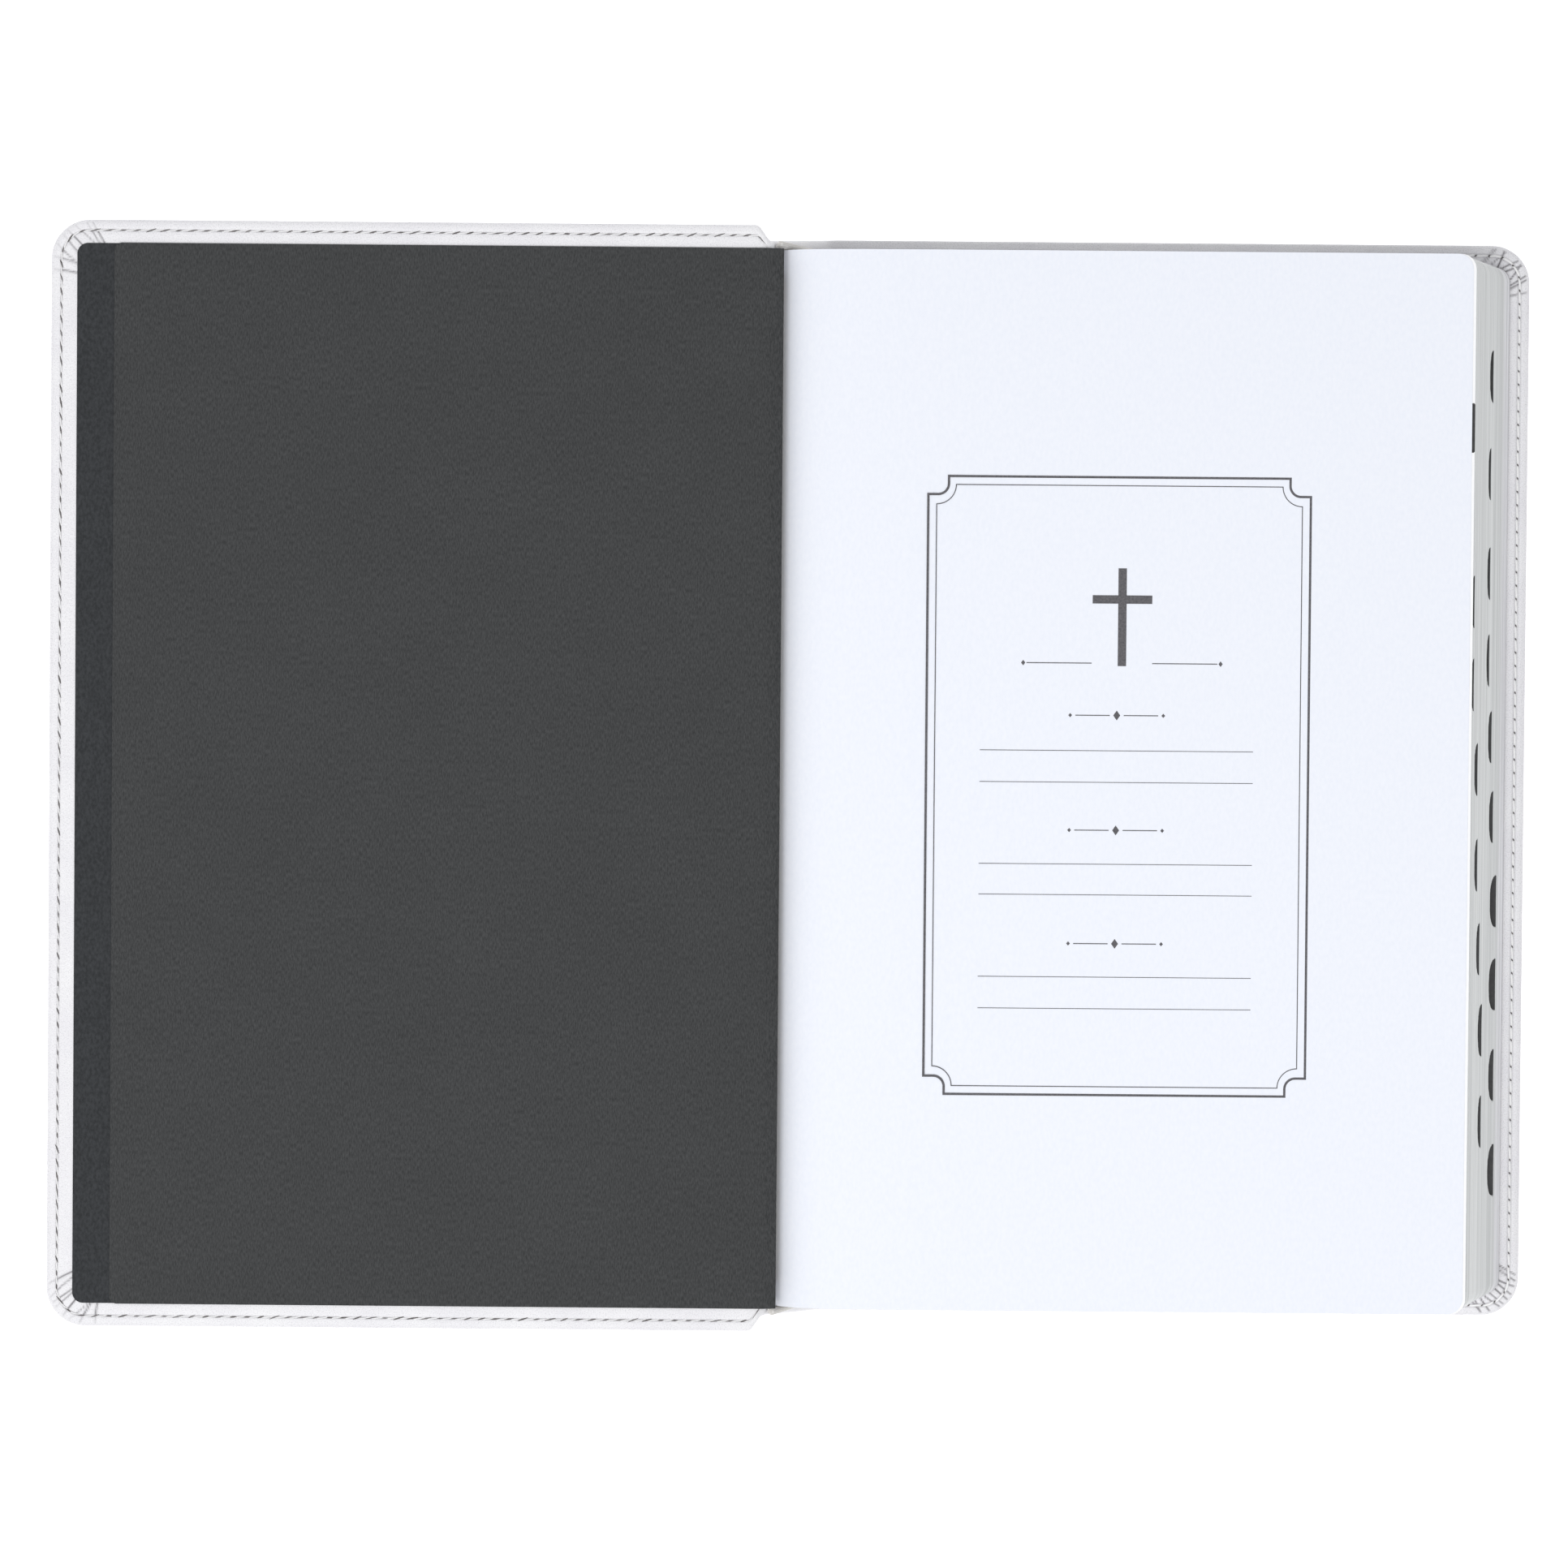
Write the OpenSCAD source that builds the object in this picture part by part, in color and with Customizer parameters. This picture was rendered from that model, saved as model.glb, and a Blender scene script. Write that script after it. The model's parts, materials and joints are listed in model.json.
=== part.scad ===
// A thumb-indexed bible in a stitched soft cover, lying open at its presentation leaf.
// The origin is under the middle of the spread, on the surface that the back cover lies on.
// +X runs towards the right-hand fore-edge, +Y towards the head of the page, +Z up.
// The right-hand pages lie on the back cover, and the front cover lies open, level with the top page.

/* [Cover] */
// Height of the covers, head to tail
cover_h = 238; // [236:0.5:244]
// Width of one cover, from its hinge line to its fore-edge
cover_w = 154.8; // [154:0.2:158]
// Thickness of a finished cover
cover_t = 1.8; // [1.6:0.1:2.2]
// Radius of the covers' fore-edge corners
cover_corner_r = 8.5; // [6:0.5:10]
// Thickness of the covering material
skin_t = 0.6; // [0.4:0.1:0.7]
// Distance of the stitched seam from the covers' outer edge
seam_inset = 2.3; // [2:0.1:3]

/* [Text block] */
// Height of the pages, head to tail
page_h = 228; // [220:0.5:230]
// Width of the pages, spine to fore-edge
page_w = 148.9; // [140:0.1:149.5]
// Thickness of the text pages, without the leaves on top
text_t = 36.9; // [30:0.1:40]
// Radius of the pages' fore-edge corners
page_corner_r = 3.3; // [2:0.1:4]
// Thickness of the record pages that follow the presentation leaf
record_t = 0.75; // [0.5:0.05:1]
// Thickness of one endpaper or presentation leaf
leaf_t = 0.2; // [0.15:0.05:0.25]

/* [Endpapers] */
// Distance of the pastedowns from the covers' fore-edge
pastedown_inset = 5.7; // [5:0.1:7]
// Width of the front flyleaf
flyleaf_w = 140.8; // [138:0.1:142]

/* [Thumb index] */
// Length of a thumb notch along the fore-edge
notch_len = 11; // [9:0.5:12]
// Depth of a thumb notch into the page
notch_depth = 2.2; // [1.5:0.1:3]
// Height of a thumb notch over its label
notch_h = 1.9; // [1.5:0.1:1.9]

/* [Hidden] */
$fn = 64;
sections = 9;           // the text pages are cut into this many sections, which slide over each other
play = 0.05;            // gap between loose leaves
slit = 0.5;             // distance between a leaf's bound edge and the line that it turns about
spine_gap = 1.4;        // distance between the back hinge line and the text block
gutter_inset = 0.8;     // distance between the block's back and the line where the top leaves are bound
record_reach = 0.7;     // how far the record pages reach past the leaf on top
corner_lap = 0.05;      // the page corners are rounded from this far outside the slanted fore-edge
seam_w = 0.5;
seam_t = 0.15;
turn_in_w = 15;         // how far the covering material is folded over onto the inside
board_start = 4;        // the board stops this far from the hinge line
pastedown_start = 1.5;  // so does the pastedown
pastedown_r = 2.3;
flyleaf_r = 1.6;
fold_w = 2;             // width of the soft fold that joins the flyleaf to the gutter, left open in the CAD

// Layers of the spine, as depths from the line between the hinges
spine_outside = -1.6;
inlay_t = 0.5;
mull_t = 0.5;
hinge_clear = 2.2;      // the stiff part of the spine stops this far from each hinge line
mull_clear = 2.6;       // so does its lining
inlay_h_less = 10;      // the inlay is shorter than the cover by this much
band_r = 0.8;           // radius of the head and tail bands' cord
band_start = 3;
band_gap = 0.2;         // distance between the band and the end of the pages
flange_t = 0.3;         // the bands' cloth, glued to the block's back
flange_w = 6;

// Levels, from the surface up
back_axis_z = cover_t / 2;
block_z = cover_t + leaf_t;
record_z = block_z + text_t;
leaf_z = record_z + record_t + play;
top_z = leaf_z + leaf_t;
turn_z = top_z + 2 * play;          // the leaves turn about lines at this level
flyleaf_z = top_z - play;
front_axis_z = flyleaf_z - play - cover_t / 2;

// The spine joins the two hinge lines. It leans when the book is open and stands up when it is shut.
spine_l = top_z + leaf_t + 2 * play;
spine_rise = front_axis_z - back_axis_z;
lean = sqrt(spine_l * spine_l - spine_rise * spine_rise);
lean_angle = acos(spine_rise / spine_l);
back_axis_x = lean / 2;
front_axis_x = -lean / 2;

// The text block leans with the spine
section_h = text_t / (sections - 1);
function back_x(z) = back_axis_x + spine_gap - lean * (z - block_z) / text_t;
function fore_x(z) = back_x(z) + page_w;
gutter_x = back_x(record_z) + gutter_inset;  // the line where the top leaves are bound

// Thumb index: the section that each label lies in, counted from the bottom, first label at the head
front_column = [8, 8, 7, 7, 7, 6, 6, 5, 5];
back_column = [5, 4, 4, 4, 3, 3, 3, 2, 2, 2];
front_column_y = 78;
back_column_y = 90.5;
tab_pitch_front = 18.85;
tab_pitch_back = 19.5;
notch_r = (notch_len * notch_len / 4 + notch_depth * notch_depth) / (2 * notch_depth);
label_t = 0.25;
label_margin = 0.15;    // between the labels and the limits of their section's upper half
label_step = (section_h / 2 - 2 * label_margin - label_t) / 2;

// The labels of one section, three at most, lie above each other in the section's upper half
function rank(column, i) = len([for (k = [i + 1:1:len(column) - 1]) if (column[k] == column[i]) k]);
function tab(column, i, y, pitch) = [
    column[i],
    y - i * pitch,
    block_z + (column[i] - 1) * section_h + label_margin + rank(column, i) * label_step
];
front_tabs = [for (i = [0:len(front_column) - 1]) tab(front_column, i, front_column_y, tab_pitch_front)];
back_tabs = [for (i = [0:len(back_column) - 1]) tab(back_column, i, back_column_y, tab_pitch_back)];
tabs = concat(front_tabs, back_tabs);
tabbed_sections = [2:8];

// ---- shared shapes ----

// A sheet that starts at x = x0 and has round corners at its far end
module leaf_outline(x0, x1, h, r) {
    union() {
        translate([x0, -h / 2]) square([x1 - x0 - r, h]);
        translate([x0, -h / 2 + r]) square([x1 - x0, h - 2 * r]);
        for (s = [-1, 1]) translate([x1 - r, s * (h / 2 - r)]) circle(r);
    }
}

module sheet(x0, x1, h, r, t) {
    linear_extrude(t) leaf_outline(x0, x1, h, r);
}

// Puts a cover built from its hinge line along +X into the place of the back or the front cover
module at_back_cover() {
    translate([back_axis_x, 0, 0]) children();
}

module at_front_cover() {
    translate([front_axis_x, 0, front_axis_z - cover_t / 2]) mirror([1, 0, 0]) children();
}

// Local frame of the spine: z along the line from the back hinge to the front hinge, x into the block
module at_spine() {
    translate([back_axis_x, 0, back_axis_z]) rotate([0, -lean_angle, 0]) children();
}

// ---- covers, built with the outside face down and the hinge line at x = 0 ----

module board_space(inset) {
    translate([0, 0, skin_t])
        sheet(board_start, cover_w - skin_t, cover_h - 2 * skin_t, cover_corner_r - skin_t, skin_t);
    translate([0, 0, 2 * skin_t])
        sheet(board_start, cover_w - turn_in_w, cover_h - 2 * turn_in_w, pastedown_r, inset - 2 * skin_t);
}

module cover_skin() {
    inside_z = cover_t - leaf_t;
    difference() {
        union() {
            sheet(0, cover_w, cover_h, cover_corner_r, inside_z);
            translate([0, 0, cover_t / 2]) rotate([90, 0, 0]) cylinder(r = cover_t / 2, h = cover_h, center = true);
        }
        board_space(inside_z);
        // the pastedown lies on the flat inside, clear of the round hinge edge
        translate([-cover_t, -cover_h, inside_z]) cube([2 * cover_t + 1, 2 * cover_h, cover_t]);
    }
}

module cover_board() {
    board_space(cover_t - leaf_t);
}

module cover_pastedown() {
    translate([0, 0, cover_t - leaf_t])
        sheet(pastedown_start, cover_w - pastedown_inset, page_h - 4 * play, pastedown_r, leaf_t);
}

module cover_seam() {
    outer = seam_inset - seam_w / 2;
    inner = seam_inset + seam_w / 2;
    translate([0, 0, cover_t - leaf_t]) linear_extrude(seam_t) difference() {
        leaf_outline(1, cover_w - outer, cover_h - 2 * outer, cover_corner_r - outer);
        leaf_outline(0, cover_w - inner, cover_h - 2 * inner, cover_corner_r - inner);
    }
}

module front_cover_skin() {
    color("whitesmoke") at_front_cover() cover_skin();
}

module front_board() {
    color("tan") at_front_cover() cover_board();
}

module front_pastedown() {
    color("#3b3e42") at_front_cover() cover_pastedown();
}

module front_seam() {
    color("gainsboro") at_front_cover() cover_seam();
}

module back_cover_skin() {
    color("whitesmoke") at_back_cover() cover_skin();
}

module back_board() {
    color("tan") at_back_cover() cover_board();
}

module back_pastedown() {
    color("#3b3e42") at_back_cover() cover_pastedown();
}

module back_seam() {
    color("gainsboro") at_back_cover() cover_seam();
}

// ---- spine ----

// A flat strip of the spine, h high and from depth a to depth b below the block's back
module spine_strip(a, b, h, ends) {
    translate([a, -h / 2, ends]) cube([b - a, h, spine_l - 2 * ends]);
}

module spine_skin() {
    inside = spine_outside + skin_t;
    turn_in = inlay_h_less / 2;
    color("whitesmoke") at_spine() union() {
        spine_strip(spine_outside, inside, cover_h, hinge_clear);
        for (s = [-1, 1])
            translate([inside, s * (cover_h - turn_in) / 2 - turn_in / 2, hinge_clear])
                cube([inlay_t, turn_in, spine_l - 2 * hinge_clear]);
    }
}

module spine_inlay() {
    inside = spine_outside + skin_t;
    color("tan") at_spine() spine_strip(inside, inside + inlay_t, cover_h - inlay_h_less, hinge_clear);
}

module mull() {
    start = spine_outside + skin_t + inlay_t;
    color("wheat") at_spine() spine_strip(start, start + mull_t, page_h - 20, mull_clear);
}

module spine_seam() {
    inside = spine_outside + skin_t + inlay_t;
    color("gainsboro") at_spine()
        for (s = [-1, 1])
            translate([inside, s * (cover_h / 2 - seam_inset) - seam_w / 2, hinge_clear])
                cube([seam_t, seam_w, spine_l - 2 * hinge_clear]);
}

// A corded band at one end of the block's back, with its flange against the spine lining
module end_band(s) {
    length = spine_l - band_start - hinge_clear;
    middle = page_h / 2 + band_gap + band_r;
    at_spine() translate([0, 0, band_start]) union() {
        translate([band_r, s * middle, 0]) cylinder(r = band_r, h = length);
        translate([0, min(s * middle, s * (middle - flange_w - band_r)), 0]) cube([flange_t, flange_w + band_r, length]);
    }
}

module head_band() {
    color("ivory") end_band(1);
}

module tail_band() {
    color("ivory") end_band(-1);
}

// ---- text block ----

module slanted_slab(z0, z1) {
    rotate([90, 0, 0]) linear_extrude(page_h, center = true)
        polygon([[back_x(z0), z0], [fore_x(z0), z0], [fore_x(z1), z1], [back_x(z1), z1]]);
}

module notch(t, h) {
    translate([fore_x(t[2]) - notch_depth + notch_r, t[1], t[2]]) cylinder(r = notch_r, h = h);
}

// Section k of the text pages. The first and last are half as thick as the others.
module text_section(k) {
    z0 = k == 1 ? block_z : block_z + (k - 1.5) * section_h;
    z1 = k == sections ? record_z : block_z + (k - 0.5) * section_h;
    color("silver") difference() {
        intersection() {
            slanted_slab(z0, z1);
            translate([0, 0, z0]) sheet(back_x(z1) - 1, fore_x(z0) + corner_lap, page_h, page_corner_r, z1 - z0);
        }
        for (t = tabs) if (t[2] < z1 && t[2] + notch_h > z0) notch(t, notch_h);
    }
}

// The black half-moon labels in the notches of section k
module index_tabs(k) {
    color("#1c1d20")
        for (t = tabs) if (t[0] == k) intersection() {
            slanted_slab(t[2], t[2] + label_t);
            notch(t, label_t);
        }
}

module record_pages() {
    color("white") translate([0, 0, record_z])
        sheet(gutter_x, fore_x(record_z) + record_reach, page_h, page_corner_r, record_t);
}

module presentation_leaf() {
    color("white") translate([0, 0, leaf_z]) sheet(gutter_x, fore_x(record_z), page_h, page_corner_r, leaf_t);
}

// ---- endpapers ----

module front_flyleaf() {
    color("#464849") translate([gutter_x, 0, flyleaf_z]) mirror([1, 0, 0])
        sheet(slit + fold_w + play, slit + fold_w + flyleaf_w, page_h, flyleaf_r, leaf_t);
}

module back_flyleaf() {
    color("#464849") translate([0, 0, cover_t]) sheet(back_x(block_z), fore_x(block_z), page_h, page_corner_r, leaf_t);
}

front_cover_skin();
front_board();
front_pastedown();
front_seam();
back_cover_skin();
back_board();
back_pastedown();
back_seam();
spine_skin();
spine_inlay();
mull();
head_band();
tail_band();
spine_seam();
back_flyleaf();
front_flyleaf();
presentation_leaf();
record_pages();
for (k = [1:sections]) text_section(k);
for (k = tabbed_sections) index_tabs(k);
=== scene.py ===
import json
import math
import random

import bmesh
import bpy
import numpy as np
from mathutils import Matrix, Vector


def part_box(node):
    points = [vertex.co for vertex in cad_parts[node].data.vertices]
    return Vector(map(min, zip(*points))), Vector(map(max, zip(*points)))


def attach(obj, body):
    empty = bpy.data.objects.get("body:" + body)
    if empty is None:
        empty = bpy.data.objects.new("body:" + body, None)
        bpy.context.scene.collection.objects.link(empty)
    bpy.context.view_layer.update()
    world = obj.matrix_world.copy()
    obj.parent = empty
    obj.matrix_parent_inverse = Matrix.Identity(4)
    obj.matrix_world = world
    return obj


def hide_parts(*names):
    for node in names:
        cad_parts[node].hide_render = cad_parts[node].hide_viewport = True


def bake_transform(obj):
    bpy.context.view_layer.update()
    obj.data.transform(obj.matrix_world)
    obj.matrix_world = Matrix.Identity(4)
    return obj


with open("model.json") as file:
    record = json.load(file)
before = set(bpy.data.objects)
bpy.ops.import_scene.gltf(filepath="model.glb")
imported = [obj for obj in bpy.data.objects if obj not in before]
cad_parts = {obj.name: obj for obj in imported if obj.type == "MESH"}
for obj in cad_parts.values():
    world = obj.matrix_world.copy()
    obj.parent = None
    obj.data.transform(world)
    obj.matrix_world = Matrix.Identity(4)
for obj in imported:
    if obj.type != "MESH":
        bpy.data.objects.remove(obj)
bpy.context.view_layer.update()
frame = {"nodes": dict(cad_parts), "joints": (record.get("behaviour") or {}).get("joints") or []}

MM = 0.001


# ---- what the CAD model says ----

def box_mm(node):
    low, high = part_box(node)
    return np.array(low) / MM, np.array(high) / MM


JOINTS = {j["name"]: j for j in frame["joints"]}


def hinge_line(joint):
    """Where a hinge that turns about Y crosses the XZ plane."""
    x, _, z = JOINTS[joint]["pos_m"]
    return np.array([x, z]) / MM


BACK_HINGE = hinge_line("back_cover_hinge")
FRONT_HINGE = hinge_line("front_cover_hinge")
LEAF_HINGE = hinge_line("record_pages_turn")
BACK_SKIN = box_mm("back_cover_skin")
COVER_W = BACK_SKIN[1][0] - BACK_HINGE[0]
COVER_HALF = BACK_SKIN[1][1]
SPINE_L = float(np.hypot(*(FRONT_HINGE - BACK_HINGE)))
SLOPE = math.atan2(FRONT_HINGE[1] - BACK_HINGE[1], BACK_HINGE[0] - FRONT_HINGE[0])

BLOCK_LOW = box_mm("text_section_1")[0][2]
BLOCK_TOP = box_mm("text_section_9")[1][2]
PAGE_HALF = box_mm("text_section_1")[1][1]
BACK_AT_LOW = box_mm("back_flyleaf")[0][0]
FORE_AT_LOW = box_mm("back_flyleaf")[1][0]
LEAN = (BACK_HINGE[0] - FRONT_HINGE[0]) / (BLOCK_TOP - BLOCK_LOW)
SLABS = 8
SLAB_H = (BLOCK_TOP - BLOCK_LOW) / SLABS


def back_x(z):
    return BACK_AT_LOW - LEAN * (z - BLOCK_LOW)


def fore_x(z):
    return FORE_AT_LOW - LEAN * (z - BLOCK_LOW)


# ---- meshes ----

def make_mesh(name, points, faces, uv=None, painted_shade=None, material_index=None, smooth=True, merge=0.0,
              caps=False):
    """A mesh object from points in millimetres.

    uv is each point's place on the flat pattern, in millimetres, and the argument after uv how much painted shade
    darkens the leather at each point.
    Points closer than merge become one, and caps closes the open rims with a sharp edge.
    """
    mesh = bpy.data.meshes.new(name)
    mesh.from_pydata([tuple(p * MM) for p in np.asarray(points, float)], [], faces)
    if uv is not None:
        layer = mesh.uv_layers.new(name="flat")
        corners = np.zeros(len(mesh.loops), np.int32)
        mesh.loops.foreach_get("vertex_index", corners)
        layer.data.foreach_set("uv", (np.asarray(uv)[corners] * MM).ravel())
    # The painted shade in the leather's crease valleys and seam groove is kept as a point attribute.
    if painted_shade is not None:
        mesh.attributes.new("painted_shade", "FLOAT", "POINT").data.foreach_set("value", np.asarray(painted_shade, np.float32))
    if material_index is not None:
        mesh.polygons.foreach_set("material_index", material_index)
    bm = bmesh.new()
    bm.from_mesh(mesh)
    if merge:
        bmesh.ops.remove_doubles(bm, verts=bm.verts, dist=merge * MM)
    if caps:
        rim = [e for e in bm.edges if e.is_boundary]
        bmesh.ops.holes_fill(bm, edges=rim, sides=0)
        for e in rim:
            e.smooth = False
    bmesh.ops.recalc_face_normals(bm, faces=bm.faces)
    for f in bm.faces:
        f.smooth = smooth
    bm.to_mesh(mesh)
    bm.free()
    obj = bpy.data.objects.new(name, mesh)
    bpy.context.scene.collection.objects.link(obj)
    return obj


def sharpen(obj, degrees):
    """Marks the edges sharper than an angle, so that shading breaks there."""
    bm = bmesh.new()
    bm.from_mesh(obj.data)
    limit = math.radians(degrees)
    for e in bm.edges:
        if len(e.link_faces) == 2 and e.calc_face_angle(0) > limit:
            e.smooth = False
    bm.to_mesh(obj.data)
    bm.free()
    return obj


def ring_faces(rings, n, base=0):
    """Quads between neighbouring closed rings of n points each, from point number base on."""
    return [(base + r * n + i, base + r * n + (i + 1) % n,
             base + (r + 1) * n + (i + 1) % n, base + (r + 1) * n + i)
            for r in range(rings - 1) for i in range(n)]


def cap_faces(base, n, steps):
    """A leaf's face: strips across it at its first steps stations, and one polygon for the rest."""
    strips = [(base + j, base + j + 1, base + n - 2 - j, base + n - 1 - j) for j in range(steps - 1)]
    return strips + [tuple(base + i for i in range(steps - 1, n - steps + 1))]


def join_shapes(shapes):
    """One set of points and faces from several."""
    points, faces, base = [], [], 0
    for shape, shape_faces in shapes:
        points.append(shape)
        faces += [tuple(base + i for i in face) for face in shape_faces]
        base += len(shape)
    return np.concatenate(points), faces


def smoothstep(x):
    x = np.clip(x, 0, 1)
    return x * x * (3 - 2 * x)


# ---- materials ----

WHITE = (1.0, 1.0, 1.0)
MIX_FACTOR, MIX_A, MIX_B, MIX_RESULT = 0, 6, 7, 2   # a Mix node's sockets for colours


def new_material(name, **sockets):
    m = bpy.data.materials.new(name)
    m.use_nodes = True
    shader = m.node_tree.nodes["Principled BSDF"]
    for key, value in sockets.items():
        shader.inputs[key.replace("_", " ").title()].default_value = value
    return m, m.node_tree, shader


def add(tree, kind, inputs=None, **settings):
    node = tree.nodes.new("ShaderNode" + kind)
    for key, value in settings.items():
        setattr(node, key, value)
    for key, value in (inputs or {}).items():
        if isinstance(value, bpy.types.NodeSocket):
            tree.links.new(value, node.inputs[key])
        else:
            node.inputs[key].default_value = value
    return node


def coordinates(tree, stretch, flat):
    """Texture coordinates in metres, stretched along each axis: the flat pattern's, or the object's own."""
    if flat:
        source = add(tree, "UVMap", uv_map="flat").outputs["UV"]
    else:
        source = add(tree, "TexCoord").outputs["Object"]
    return add(tree, "Mapping", {"Vector": source, "Scale": stretch}).outputs["Vector"]


def noise_value(tree, scale, stretch=(1, 1, 1), detail=3.0, roughness=0.5, flat=False):
    inputs = {"Vector": coordinates(tree, stretch, flat), "Scale": scale, "Detail": detail, "Roughness": roughness}
    return add(tree, "TexNoise", inputs).outputs["Fac"]


def ramp(tree, value, stops):
    node = add(tree, "ValToRGB", {"Fac": value})
    while len(node.color_ramp.elements) < len(stops):
        node.color_ramp.elements.new(0.5)
    for element, (position, colour) in zip(node.color_ramp.elements, stops):
        element.position = position
        element.color = (*colour, 1)
    return node.outputs["Color"]


def math_node(tree, operation, a, b):
    return add(tree, "Math", {0: a, 1: b}, operation=operation).outputs[0]


def multiply(tree, a, b):
    """One colour socket times another."""
    node = add(tree, "Mix", {MIX_FACTOR: 1.0, MIX_A: a, MIX_B: b}, data_type="RGBA", blend_type="MULTIPLY")
    return node.outputs[MIX_RESULT]


def paint(tree, shader, colour):
    tree.links.new(colour, shader.inputs["Base Color"])


def bump(tree, shader, height, distance, strength):
    inputs = {"Height": height, "Distance": distance * MM, "Strength": strength}
    tree.links.new(add(tree, "Bump", inputs).outputs["Normal"], shader.inputs["Normal"])


def leather_material():
    """Fine pebble grain with soft clouds, and painted shade in the corners' crease valleys and the seam groove, read
    from a point attribute of the mesh.
    """
    m, t, s = new_material("cover_leather", roughness=0.46)
    pebble_inputs = {"Vector": coordinates(t, (1, 1, 1), True), "Scale": 1500.0, "Smoothness": 0.6}
    pebble = add(t, "TexVoronoi", pebble_inputs, feature="SMOOTH_F1").outputs["Distance"]
    fine = noise_value(t, 3800.0, detail=3.0, flat=True)
    soft = noise_value(t, 90.0, detail=2.0, flat=True)
    specks = ramp(t, fine, [(0.30, (0.70, 0.695, 0.715)), (0.52, (0.875, 0.87, 0.885))])
    tint = ramp(t, soft, [(0.35, (0.95, 0.945, 0.96)), (0.7, WHITE)])
    painted_shade = add(t, "Attribute", attribute_name="painted_shade").outputs["Fac"]
    # painted shade: white where the attribute is 0, near black where it is 1
    shade = ramp(t, painted_shade, [(0.0, WHITE), (1.0, (0.24, 0.23, 0.24))])
    paint(t, s, multiply(t, multiply(t, specks, tint), shade))
    height = math_node(t, "SUBTRACT", fine, math_node(t, "MULTIPLY", pebble, 0.9))
    bump(t, s, height, 0.09, 0.7)
    rough = add(t, "MapRange", {"Value": fine, "To Min": 0.38, "To Max": 0.6}).outputs["Result"]
    t.links.new(rough, s.inputs["Roughness"])
    return m


def speckled_material(name, roughness, scale, stops, depth=None, stretch=(1, 1, 1), detail=3.0, flat=False,
                      **sockets):
    """Fine noise between two colours. depth is the bump's distance in millimetres and its strength."""
    m, t, s = new_material(name, roughness=roughness, **sockets)
    value = noise_value(t, scale, stretch, detail=detail, flat=flat)
    paint(t, s, ramp(t, value, stops))
    if depth:
        bump(t, s, value, *depth)
    return m


def white_paper_material(name, low, high):
    return speckled_material(name, 0.62, 1600.0, [(0.3, low), (0.7, high)], (0.012, 0.35), (1, 0.5, 1))


def dark_paper_material(name, low, high, stretch):
    """Uncoated dark paper with a fine grain that runs head to tail."""
    m, t, s = new_material(name, roughness=0.85)
    grain = noise_value(t, 1.0, stretch, detail=2.5, roughness=0.6)
    cloud = noise_value(t, 60.0, detail=2.0)
    colour = ramp(t, grain, [(0.34, low), (0.66, high)])
    tone = ramp(t, cloud, [(0.3, (0.93, 0.93, 0.93)), (0.7, WHITE)])
    paint(t, s, multiply(t, colour, tone))
    bump(t, s, grain, 0.05, 0.5)
    return m


def page_edge_material():
    """Silvered page edges: bands and fine lines that follow the leaves, and whiter leaves at the bottom."""
    m, t, s = new_material("text_paper", roughness=0.5)
    lines = noise_value(t, 1.0, (40, 14, 5200), detail=2.0)
    bands = noise_value(t, 1.0, (12, 5, 640), detail=2.0)
    height = add(t, "SeparateXYZ", {0: add(t, "TexCoord").outputs["Object"]}).outputs["Z"]
    low, high = BLOCK_LOW * MM, (BLOCK_LOW + WHITE_LEAVES_H) * MM
    level = add(t, "MapRange", {"Value": height, "From Min": low, "From Max": high}).outputs["Result"]
    base = ramp(t, level, [(0.0, (0.93, 0.93, 0.96)), (0.62, (0.90, 0.90, 0.93)),
                           (0.72, (0.72, 0.73, 0.735)), (1.0, (0.70, 0.715, 0.715))])
    fine = ramp(t, lines, [(0.38, (0.74, 0.74, 0.74)), (0.6, WHITE)])
    broad = ramp(t, bands, [(0.38, (0.84, 0.845, 0.845)), (0.62, WHITE)])
    paint(t, s, multiply(t, multiply(t, base, fine), broad))
    bump(t, s, lines, 0.05, 0.4)
    return m


def woven_material(name, low, high, pitch):
    """Plain weave: crossed waves with some noise."""
    m, t, s = new_material(name, roughness=0.85, sheen_weight=0.2)
    heights = []
    for direction in ("Y", "Z"):
        inputs = {"Vector": coordinates(t, (1, 1, 1), False), "Scale": 0.5 / (pitch * MM), "Distortion": 0.6}
        heights.append(add(t, "TexWave", inputs, bands_direction=direction).outputs["Fac"])
    weave = math_node(t, "MULTIPLY", *heights)
    paint(t, s, ramp(t, weave, [(0.1, low), (0.8, high)]))
    bump(t, s, weave, 0.08, 0.6)
    return m


WHITE_LEAVES_H = 8.0   # the whiter leaves at the bottom of the block fade out below this height
LEATHER = leather_material()
THREAD = speckled_material("thread", 0.7, 5200.0, [(0.3, (0.85, 0.845, 0.85)), (0.6, (0.97, 0.968, 0.965))],
                           (0.05, 0.6), detail=2.0, flat=True, sheen_weight=0.3)
# Painted shade of the needle holes: a dark colour on flat ellipses where the holes would lie in shadow.
HOLE_SHADE = speckled_material("needle_hole_shade", 0.9, 2400.0, [(0.3, (0.075, 0.068, 0.066)), (0.7, (0.2, 0.185, 0.18))],
                         detail=1.0, flat=True)
PASTEDOWN = dark_paper_material("pastedown_paper", (0.017, 0.019, 0.0215), (0.036, 0.039, 0.043), (1900, 1100, 1500))
ENDPAPER = dark_paper_material("endpaper", (0.026, 0.0275, 0.0285), (0.058, 0.060, 0.0615), (4000, 1050, 2000))
WHITE_PAPER = white_paper_material("white_paper", (0.845, 0.875, 0.95), (0.88, 0.905, 0.97))
RECORD_PAPER = white_paper_material("record_paper", (0.95, 0.95, 0.955), (0.98, 0.98, 0.985))
TEXT_PAGE = white_paper_material("text_page", (0.80, 0.805, 0.81), (0.86, 0.865, 0.87))
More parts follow.
